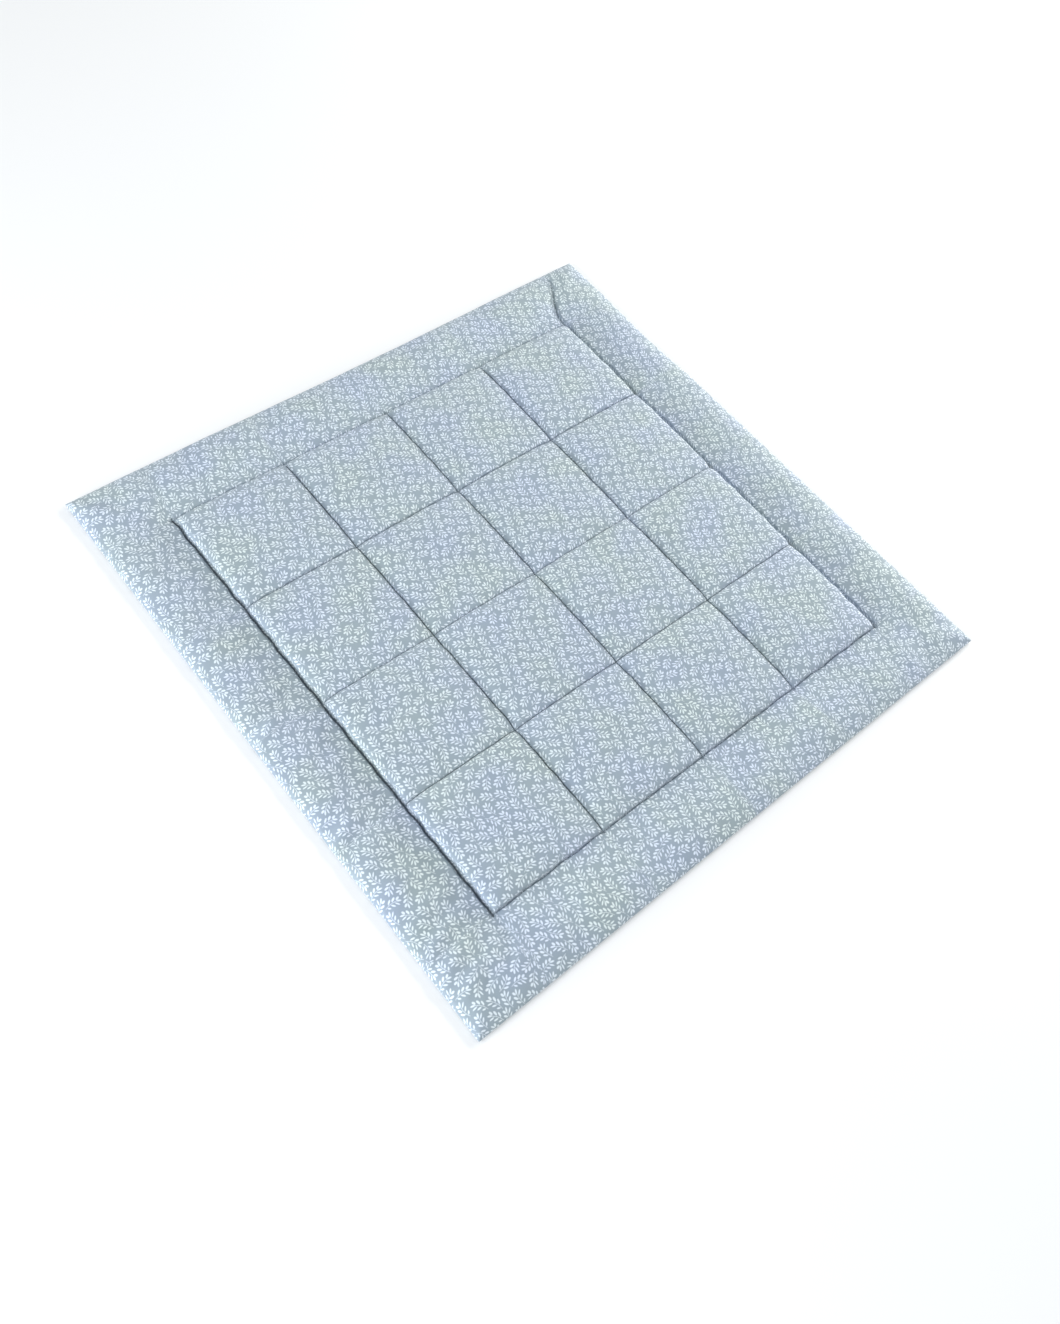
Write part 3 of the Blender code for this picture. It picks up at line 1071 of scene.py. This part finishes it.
def lay_floor():
    """Lay a wide pale floor under the mat."""
    bpy.ops.mesh.primitive_plane_add(size=FLOOR_SIZE, location=(0.0, 0.0, FLOOR_LEVEL))
    floor = bpy.context.object
    floor.name = "floor"
    floor.data.materials.append(plain_material("pale_floor", FLOOR_COLOUR, FLOOR_ROUGHNESS))


def soft_light(name, place, power, colour):
    """A soft round studio light, not seen itself."""
    data = bpy.data.lights.new(name, "POINT")
    data.energy = power
    data.color = colour
    data.shadow_soft_size = LIGHT_RADIUS
    light = bpy.data.objects.new(name, data)
    light.location = place
    light.visible_camera = False
    bpy.context.scene.collection.objects.link(light)


def light_scene():
    """Low and high rows of soft lights on either side of the mat, and a pale world."""
    for name, side, distance, height, power, colour in LIGHT_ROWS:
        for number, along in enumerate(ALONG_ROW):
            soft_light(f"{name}_{number}", (side * distance, along, height), power, colour)
    world = bpy.data.worlds.new("pale_room")
    world.use_nodes = True
    sky = world.node_tree.nodes["Background"]
    sky.inputs["Color"].default_value = WORLD_COLOUR
    sky.inputs["Strength"].default_value = WORLD_STRENGTH
    bpy.context.scene.world = world


def place_camera():
    """Put the camera where the photograph was taken from."""
    azimuth = math.radians(CAMERA_AZIMUTH)
    elevation = math.radians(CAMERA_ELEVATION)
    roll = math.radians(CAMERA_ROLL)
    look = Vector((-math.sin(azimuth) * math.cos(elevation),
                   math.cos(azimuth) * math.cos(elevation),
                   -math.sin(elevation)))
    level = Vector((math.cos(azimuth), math.sin(azimuth), 0.0))
    upright = level.cross(look)
    right = level * math.cos(roll) + upright * math.sin(roll)
    up = upright * math.cos(roll) - level * math.sin(roll)
    data = bpy.data.cameras.new("camera")
    data.sensor_fit = "AUTO"
    data.sensor_width = SENSOR
    data.lens = FOCAL_PIXELS / PICTURE_HEIGHT * SENSOR
    data.shift_x = -AXIS_RIGHT_PIXELS / PICTURE_HEIGHT
    data.shift_y = AXIS_DOWN_PIXELS / PICTURE_HEIGHT
    camera = bpy.data.objects.new("camera", data)
    turn = Matrix((right, up, -look)).transposed().to_4x4()
    camera.matrix_world = Matrix.Translation(CAMERA_PLACE) @ turn
    bpy.context.scene.collection.objects.link(camera)
    bpy.context.scene.camera = camera


place_camera()
light_scene()
lay_floor()

cloth = cloth_object()
cloth.data.materials.append(cotton_material())
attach(cloth, "root")
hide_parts("quilted_mat")

thread = stitches_object()
thread.data.materials.append(plain_material("quilting_thread", THREAD_COLOUR, THREAD_ROUGHNESS))
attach(thread, "root")

bpy.context.scene.view_settings.view_transform = "Standard"
